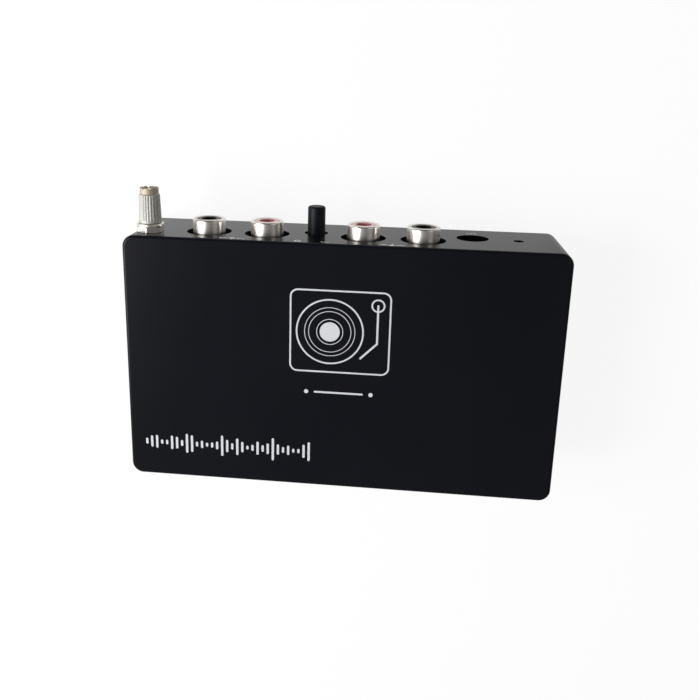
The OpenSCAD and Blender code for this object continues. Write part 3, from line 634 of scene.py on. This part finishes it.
def thumb_nut_surface():
    """A taper with V grooves round it (the radius falls by a triangle wave of the angle) that run
    out over the shoulder of a plain crown, whose chamfered rim drops into eight V notches."""
    low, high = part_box("ground_thumb_nut")
    foot_r, top_r, bore, bevel = (high.x - low.x) / 2, 2.6 * MM, 1.54 * MM, 0.2 * MM
    grooves, groove_depth, notches, notch_depth = 24, 0.12 * MM, 8, 0.49 * MM
    run_out = 0.35 * MM  # length over which a groove begins
    land = 0.35  # share of the wave that is cut off, which leaves each rib a flat top
    crown_r, edge = top_r - 0.26 * MM, 0.25 * MM
    foot_h, mouth_h = 0.6 * MM, 1.2 * MM  # plain foot, and the stretch of bore with close rows
    first, crown = low.y + foot_h, high.y - CROWN_H
    last = crown - edge
    wall_y = np.linspace(first, last, 60)
    wall_r = np.interp(wall_y, [first, last], [foot_r, top_r])
    shoulder = np.linspace(0, 1, 8)[1:]
    rim_r = np.linspace(crown_r - edge - 0.06 * MM, bore + 0.03 * MM, 6)
    bore_y = np.linspace(high.y - 0.04 * MM, high.y - mouth_h, 12)
    profile = np.concatenate(
        [
            [(bore, low.y + bevel), (bore + bevel, low.y), (foot_r - bevel, low.y)],
            arc((foot_r - bevel, low.y + bevel), bevel, -90, 0, 4),
            np.stack([wall_r, wall_y], 1),
            np.stack([top_r + (crown_r - top_r) * shoulder, last + edge * shoulder], 1),
            np.stack([np.full(12, crown_r), np.linspace(crown + 0.1 * MM, high.y - edge, 12)], 1),
            arc((crown_r - edge, high.y - edge), edge, 0, 90, 6)[1:],
            np.stack([rim_r, np.full(6, high.y)], 1),
            np.stack([np.full(12, bore), bore_y], 1),
        ]
    )
    columns = grooves * 12
    a = np.arange(columns) / columns * TURN
    r = np.repeat(profile[:, :1], columns, 1)
    y = np.repeat(profile[:, 1:], columns, 1)
    wave = np.abs(2 * ((a * grooves / TURN) % 1) - 1)
    taper_r = foot_r + (top_r - foot_r) * (y - first) / (last - first)
    start = np.clip((y - first) / run_out, 0, 1)
    cut_r = taper_r - groove_depth * np.clip((1 + land) * wave - land, 0, 1) * start
    outside = (r > crown_r - 0.01 * MM) & (y >= first) & (y <= crown)
    r = np.where(outside, np.minimum(r, cut_r), r)
    off = r * np.abs(np.sin((a * notches / TURN % 1 - 0.5) * TURN / notches))
    floor = high.y - np.clip(notch_depth - off, 0, None)
    y = np.where(y > crown, np.minimum(y, floor), y)
    return np.stack([POST[0] + r * np.sin(a), y, POST[1] + r * np.cos(a)], -1)


piece(
    "ground_post_thread",
    [patch(stud_surface())],
    NICKEL,
    replaces=["ground_stud"],
    crease=50,
)
piece(
    "ground_post_nut",
    [patch(hex_nut_surface(), wrap_rows=True)],
    NICKEL,
    replaces=["ground_hex_nut"],
)
piece(
    "ground_post_washer",
    [patch(revolved(washer_profile(), POST), wrap_rows=True)],
    NICKEL,
    body="washer",
    replaces=["ground_washer"],
)
piece(
    "thumb_nut_knurled",
    [patch(thumb_nut_surface(), wrap_rows=True)],
    KNURLED,
    body="thumb_nut",
    replaces=["ground_thumb_nut"],
)

# ---------------------------------------------------------------- return spring


def spring_surface(turns=5, wire_r=0.2 * MM, steps=240, columns=12):
    """Wire swept along a helix that rises by (share - sin(TURN share) / (2 TURN)) of its length,
    so its end coils lie closer; both cut ends close over the wire's middle."""
    low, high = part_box("return_spring")
    axis, coil_r = middle("return_spring"), (high.x - low.x) / 2 - wire_r
    share = np.linspace(0, 1, steps + 1)[[0, *range(steps + 1), steps]]
    wire = np.full(len(share), wire_r)
    wire[[0, -1]] = 0
    turn = (share * turns * TURN)[:, None]
    climb = share - np.sin(TURN * share) / (2 * TURN)
    rise = low.y + wire_r + (high.y - low.y - 2 * wire_r) * climb
    a = np.arange(columns) / columns * TURN
    out = coil_r + wire[:, None] * np.cos(a)
    y = rise[:, None] + wire[:, None] * np.sin(a)
    return np.stack([axis.x + out * np.cos(turn), y, axis.z + out * np.sin(turn)], -1)


spring = piece(
    "button_spring",
    [patch(spring_surface())],
    FINISHES["spring_steel"],
    replaces=["return_spring"],
    crease=60,
)
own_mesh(spring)

# ---------------------------------------------------------------- printed marks

FRAME_W, EDGE_W, GROOVE_W, ARM_W = 0.42 * MM, 0.4 * MM, 0.16 * MM, 0.5 * MM  # lines on the top
MARK_W, MARK_UP = 0.44 * MM, TOP_Z - 2 * MM  # lines on the wall, and how high most of them lie


def on_top(x, up, height):
    """Place on the top face: x along it, up towards the connector wall."""
    return np.stack([x, up, np.full_like(x, TOP_Z + height)], -1)


def on_wall(x, up, height):
    """Place on the connector wall, up towards the top face."""
    return np.stack([x, np.full_like(x, WALL_Y + height), up], -1)


def printed(outline, place, thick=INK_T):
    """A flat print: the outline (x, up) closes over its own middle on both faces. place turns
    (x, up, height) into a point of the object."""
    outline = np.asarray(outline, float)
    centre = np.broadcast_to(outline.mean(0), outline.shape)
    rows = [(centre, -INK_ROOT), (outline, -INK_ROOT), (outline, thick), (centre, thick)]
    return patch(np.stack([place(flat[:, 0], flat[:, 1], h) for flat, h in rows]))


def printed_loop(outer, inner, place):
    """A printed line that runs round between two outlines with as many points each."""
    rows = [(outer, -INK_ROOT), (outer, INK_T), (inner, INK_T), (inner, -INK_ROOT)]
    return patch(np.stack([place(flat[:, 0], flat[:, 1], h) for flat, h in rows]), wrap_rows=True)


def stroke(start, end, width, place, under=0):
    """A printed line with round ends: a half circle round each end. Where lines of a mark cross,
    the one that goes under is a micron thinner for each line over it."""
    start, end = np.asarray(start, float), np.asarray(end, float)
    turn = math.degrees(math.atan2(*(end - start)[::-1]))
    far_end = arc(end, width / 2, turn - 90, turn + 90)
    near_end = arc(start, width / 2, turn + 90, turn + 270)
    return printed(np.concatenate([far_end, near_end]), place, INK_T - under * MICRON)


def ring(centre, radius, width, place):
    """A printed circle line."""
    outer, inner = circle(centre, radius + width / 2), circle(centre, radius - width / 2)
    return printed_loop(outer, inner, place)


def record_player_mark(centre, half):
    """Plan of a record player: a rounded frame, the record's edge, grooves and label, and its
    arm. Its places and sizes, apart from the lines' widths, are shares of half its width."""
    x, up = centre
    deep, corner = half * 0.86, half * 0.16
    frame_line = printed_loop(
        round_rectangle(centre, (half, deep), corner),
        round_rectangle(centre, (half - FRAME_W, deep - FRAME_W), corner - FRAME_W),
        on_top,
    )
    record = (x - half * 0.2, up)
    pivot = (x + half * 0.74, up + half * 0.58)
    elbow = (x + half * 0.74, up - half * 0.2)
    head = (x + half * 0.42, up - half * 0.52)
    lines = ((0.66, EDGE_W), (0.5, GROOVE_W), (0.42, GROOVE_W))
    rings = [ring(record, half * share, width, on_top) for share, width in lines]
    label = printed(circle(record, half * 0.2), on_top)
    label_line = ring(record, half * 0.26, GROOVE_W, on_top)
    arm = [stroke(pivot, elbow, ARM_W, on_top, 1), stroke(elbow, head, ARM_W, on_top, 2)]
    pivot_line = ring(pivot, half * 0.12, EDGE_W, on_top)
    return [frame_line, *rings, label, label_line, *arm, pivot_line]


def sound_bars(start, end, up, pitch, width, tallest):
    """A row of upright bars, as a level display's. Their heights follow a slow sine, in radians
    a bar, which a fast one ripples, and are never less than a share of the tallest."""
    slow, fast, ripple, least = 0.37, 1.9, 0.45, 0.16
    x = np.arange(start, end, pitch)
    share = np.abs(np.sin(x / pitch * slow)) * (1 - ripple + ripple * np.sin(x / pitch * fast))
    tall = tallest * (least + (1 - least) * share)
    low, high = up - tall / 2 + width / 2, up + tall / 2 - width / 2
    return [stroke((at, a), (at, b), width, on_top) for at, a, b in zip(x, low, high)]


def arrow(x, up, way):
    """A short arrow on the wall, way +1 for up and -1 for down."""
    reach, barb_x, barb_up = 0.8 * MM, 0.7 * MM, 0.1 * MM
    tip, tail = up + way * reach, up - way * reach
    marks = [stroke((x, tail), (x, tip), MARK_W, on_wall)]
    for under, side in enumerate((-1, 1), 1):
        barb = (x + side * barb_x, up + way * barb_up)
        marks.append(stroke(barb, (x, tip), MARK_W, on_wall, under))
    return marks


def dash(x, up, length):
    """A level stroke on the wall, centred on x."""
    return stroke((x - length / 2, up), (x + length / 2, up), MARK_W, on_wall)


def earth_mark(x, up):
    """The earth sign: a stem over three lines, each shorter than the last."""
    stem_up, first_up = up + 1 * MM, up + 0.1 * MM
    lines = ((2.0, 0.1), (1.2, -0.55), (0.4, -1.2))  # length and height of each, in mm
    stem = stroke((x, stem_up), (x, first_up), MARK_W, on_wall, 1)
    return [stem] + [dash(x, up + rise * MM, length * MM) for length, rise in lines]


def direct_current_mark(x, up):
    """The direct-current sign: a line over three short ones."""
    half_gap, pitch, long, short = 0.4 * MM, 0.9 * MM, 2.4 * MM, 0.3 * MM
    below = [dash(x + i * pitch, up - half_gap, short) for i in (-1, 0, 1)]
    return [dash(x, up + half_gap, long)] + below


def top_marks():
    """Record player in the middle, a line between two dots below it, and level bars in the
    front left corner."""
    line_up, line_half, dot_x, dot_r = -11.6 * MM, 6 * MM, 8.2 * MM, 0.55 * MM
    bars_start, bars_end, bars_up = -50.5 * MM, -6 * MM, -28.5 * MM
    bar_pitch, bar_w, tallest = 1.35 * MM, 0.62 * MM, 6.4 * MM
    marks = record_player_mark((0, 4.6 * MM), 12.6 * MM)
    marks += [stroke((-line_half, line_up), (line_half, line_up), ARM_W, on_top)]
    marks += [printed(circle((side * dot_x, line_up), dot_r, 32), on_top) for side in (-1, 1)]
    return marks + sound_bars(bars_start, bars_end, bars_up, bar_pitch, bar_w, tallest)


def wall_marks():
    """An arrow in between the input sockets, an arrow out between the output sockets, a ring and
    a dash for the two states of the button, and the signs for direct current and earth."""
    side_x, side_length = 2.2 * MM, 1.6 * MM  # dashes on both sides of an arrow
    state_x, state_r = 3.4 * MM, 0.7 * MM  # ring and dash on both sides of the button
    dc_up, earth_up = 6.6 * MM, POST[1] - 7.5 * MM
    marks = []
    for side, way in (("input", -1), ("output", 1)):
        x = (middle(side + "_left_insert").x + middle(side + "_right_insert").x) / 2
        marks += arrow(x, MARK_UP, way)
        marks += [dash(x + k * side_x, MARK_UP, side_length) for k in (-1, 1)]
    button_x = middle("button_cap").x
    marks += [ring((button_x - state_x, MARK_UP), state_r, MARK_W, on_wall)]
    marks += [dash(button_x + state_x, MARK_UP, side_length)]
    marks += direct_current_mark(middle("dc_centre_pin").x, dc_up)
    return marks + earth_mark(POST[0], earth_up)


piece("top_print", top_marks(), TOP_INK)
piece("connector_print", wall_marks(), WALL_INK_PAINTED_BRIGHT)

# ---------------------------------------------------------------- floor, light and camera

WHITE = (1, 1, 1, 1)
FLOOR_HALF, FLOOR_TONE = 4, 0.92  # half its width in metres, and how pale it is
FLOOR_GLOW = 0.9  # share of plain white in what the camera and mirrors see of the floor
LAMP_AIM = Vector((0, 0, 0.015))  # the middle of the case


def floor_paint():
    """Pale floor that the camera, mirrors and clear pieces see as mostly plain white, with a soft
    shadow. Mirrors see a painted shade on it that darkens to the right, along X. From below it is
    clear."""
    made = bpy.data.materials.new("pale_floor")
    made.use_nodes = True
    tree = made.node_tree
    shader = next(n for n in tree.nodes if n.type == "BSDF_PRINCIPLED")
    out = next(n for n in tree.nodes if n.type == "OUTPUT_MATERIAL")
    shader.inputs["Base Color"].default_value = (FLOOR_TONE, FLOOR_TONE, FLOOR_TONE, 1)
    shader.inputs["Roughness"].default_value = 0.9
    shader.inputs["Specular IOR Level"].default_value = 0.1
    ray = add(tree, "ShaderNodeLightPath").outputs
    where = add(tree, "ShaderNodeTexCoord").outputs
    place = add(tree, "ShaderNodeSeparateXYZ", {0: where["Object"]}).outputs
    # painted shade: what mirrors see of the floor darkens to the right of the case, along X
    right = mapped(tree, place["X"], -0.02, 0.06, 1.0, 0.77)
    far = mapped(tree, place["X"], 0.05, 0.07, 1.0, 0.6)
    painted_shade = maths(tree, "MULTIPLY", right, far)
    level = maths(tree, "MAXIMUM", painted_shade, ray["Is Camera Ray"])
    glow = add(tree, "ShaderNodeEmission", {"Color": WHITE, "Strength": level})
    seen = maths(tree, "MAXIMUM", ray["Is Camera Ray"], ray["Is Glossy Ray"])
    seen = maths(tree, "MAXIMUM", seen, ray["Is Transmission Ray"])
    share = maths(tree, "MULTIPLY", seen, FLOOR_GLOW)
    mixed = {0: share, 1: shader.outputs[0], 2: glow.outputs[0]}
    above = add(tree, "ShaderNodeMixShader", mixed).outputs[0]
    side = add(tree, "ShaderNodeNewGeometry").outputs["Backfacing"]
    below = add(tree, "ShaderNodeBsdfTransparent").outputs[0]
    one_sided = add(tree, "ShaderNodeMixShader", {0: side, 1: above, 2: below})
    tree.links.new(one_sided.outputs[0], out.inputs["Surface"])
    return made


def floor_sheet():
    """One big square at the height of the feet's soles."""
    made = bpy.data.objects.new("floor", bpy.data.meshes.new("floor"))
    corners = [(x * FLOOR_HALF, y * FLOOR_HALF, 0) for x, y in ((-1, -1), (1, -1), (1, 1), (-1, 1))]
    made.data.from_pydata(corners, [], [(0, 1, 2, 3)])
    made.data.materials.append(floor_paint())
    bpy.context.scene.collection.objects.link(made)
    return made


floor = floor_sheet()


def studio_sky():
    """Light from all round: it falls from white at the horizon to grey overhead, from left to
    right, and towards the side of the connectors. The camera and clear pieces see plain white."""
    world = bpy.data.worlds.new("studio")
    world.use_nodes = True
    tree = world.node_tree
    soft = next(n for n in tree.nodes if n.type == "BACKGROUND")
    out = next(n for n in tree.nodes if n.type == "OUTPUT_WORLD")
    way = add(tree, "ShaderNodeTexCoord").outputs["Generated"]
    parts = add(tree, "ShaderNodeSeparateXYZ", {0: way}).outputs
    height = add(tree, "ShaderNodeValToRGB", {0: parts["Z"]})
    stops = height.color_ramp.elements
    stops[0].position, stops[0].color = 0.0, WHITE
    stops[1].position, stops[1].color = 1.0, (0.33, 0.33, 0.35, 1)
    for at, tone in ((0.08, 0.55), (0.34, 0.42), (0.62, 0.4), (0.8, 0.33)):
        stops.new(at).color = (tone, tone, tone * 1.03, 1)
    across = mapped(tree, parts["X"], -0.6, 0.6, 1.05, 0.48)
    beyond = mapped(tree, parts["Y"], 0.0, 0.5, 1.0, 0.2)
    tree.links.new(height.outputs[0], soft.inputs["Color"])
    tree.links.new(maths(tree, "MULTIPLY", across, beyond), soft.inputs["Strength"])
    white = add(tree, "ShaderNodeBackground", {"Color": WHITE, "Strength": 1.0})
    ray = add(tree, "ShaderNodeLightPath").outputs
    direct = maths(tree, "MAXIMUM", ray["Is Camera Ray"], ray["Is Transmission Ray"])
    seen = add(tree, "ShaderNodeMixShader", {0: direct, 1: soft.outputs[0], 2: white.outputs[0]})
    tree.links.new(seen.outputs[0], out.inputs["Surface"])
    return world


bpy.context.scene.world = studio_sky()


def softbox(name, place, size, watts):
    """A rectangular lamp, size (across, up) in metres, that faces the middle of the case."""
    data = bpy.data.lights.new(name, "AREA")
    data.shape, data.energy = "RECTANGLE", watts
    data.size, data.size_y = size
    lamp = bpy.data.objects.new(name, data)
    turn = (LAMP_AIM - Vector(place)).to_track_quat("-Z", "Y").to_matrix().to_4x4()
    lamp.matrix_world = Matrix.Translation(Vector(place)) @ turn
    lamp.visible_camera = False
    bpy.context.scene.collection.objects.link(lamp)


softbox("left_softbox", (-0.398, -0.02, 0.38), size=(0.32, 0.32), watts=4.0)
softbox("right_softbox", (0.5, 0.2, 0.4), size=(0.3, 0.3), watts=0.35)

CAMERA_PLACE = Vector((15.75, 67.12, 213.33)) * MM
CAMERA_WAY, CAMERA_UP = Vector((-0.0961, -0.2662, -0.9591)), Vector((-0.0487, 0.9637, -0.2626))
forward = CAMERA_WAY.normalized()
side = forward.cross(CAMERA_UP).normalized()
turn = Matrix((side, side.cross(forward), -forward)).transposed().to_4x4()
camera = bpy.data.objects.new("camera", bpy.data.cameras.new("camera"))
camera.data.lens, camera.data.sensor_width = 40.77, 36
camera.data.shift_x, camera.data.shift_y = 0.03, -0.0857
camera.data.clip_start, camera.data.clip_end = 0.01, 20
camera.matrix_world = Matrix.Translation(CAMERA_PLACE) @ turn
bpy.context.scene.collection.objects.link(camera)
bpy.context.scene.camera = camera
bpy.context.scene.view_settings.view_transform = "Standard"
